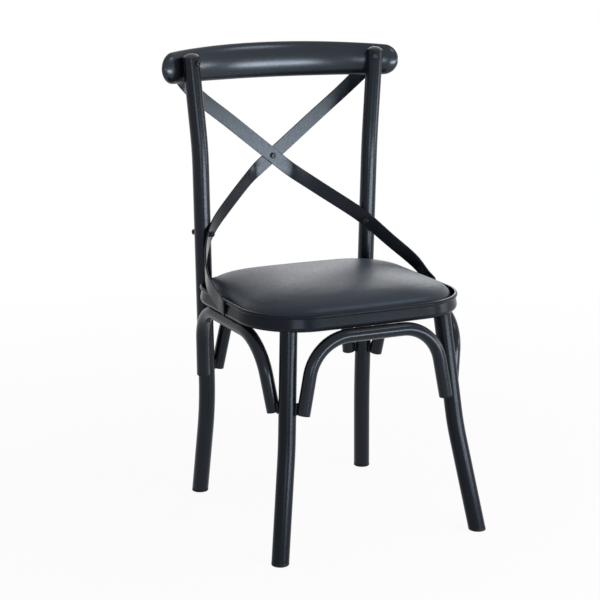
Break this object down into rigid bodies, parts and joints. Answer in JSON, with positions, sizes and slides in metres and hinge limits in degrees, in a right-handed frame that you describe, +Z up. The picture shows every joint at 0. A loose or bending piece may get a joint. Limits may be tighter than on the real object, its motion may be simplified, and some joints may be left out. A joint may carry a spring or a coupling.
{
  "type": "metal dining chair",
  "caption": "Cross-back dining chair with a bent steel tube frame, arched stretchers, curved crest rail, crossed back straps and a padded seat in a steel ring.",
  "frame": {"origin": "on the floor, below the middle of the chair's box", "axes": "+Z up; the chair faces -Y; +X is to the right of someone looking at its front"},
  "size_m": [0.5042, 0.5192, 0.8755],
  "materials": {
    "coated_steel": "smooth semi-gloss black powder coat",
    "bolt_steel": "black oxide steel, slightly worn at the edges",
    "glide_plastic": "matt moulded black plastic",
    "cap_plastic": "glossy moulded black plastic",
    "plywood": "bare birch plywood",
    "foam": "open-cell seat foam",
    "seat_vinyl": "smooth black coated upholstery fabric with a fine grain"
  },
  "bodies": {
    "root": {"crest_rail": "coated_steel", "cross_bolt": "bolt_steel", "cross_nut": "bolt_steel", "cross_strap_front": "coated_steel", "cross_strap_rear": "coated_steel", "foot_glide_front_left": "glide_plastic", "foot_glide_front_right": "glide_plastic", "foot_glide_rear_left": "glide_plastic", "foot_glide_rear_right": "glide_plastic", "front_hoop": "coated_steel", "front_leg_left": "coated_steel", "front_leg_right": "coated_steel", "hoop_end_plugs": "coated_steel", "hoop_weld_beads": "coated_steel", "left_hoop": "coated_steel", "rail_bolts": "bolt_steel", "rail_nuts": "bolt_steel", "rear_hoop": "coated_steel", "rear_upright_left": "coated_steel", "rear_upright_right": "coated_steel", "right_hoop": "coated_steel", "seat_board": "plywood", "seat_cover": "seat_vinyl", "seat_foam": "foam", "seat_ring": "coated_steel", "seat_screws": "bolt_steel", "strap_bolts": "bolt_steel", "strap_end_bolts": "bolt_steel", "strap_nuts": "bolt_steel", "upright_cap_left": "cap_plastic", "upright_cap_right": "cap_plastic"}
  },
  "joints": []
}
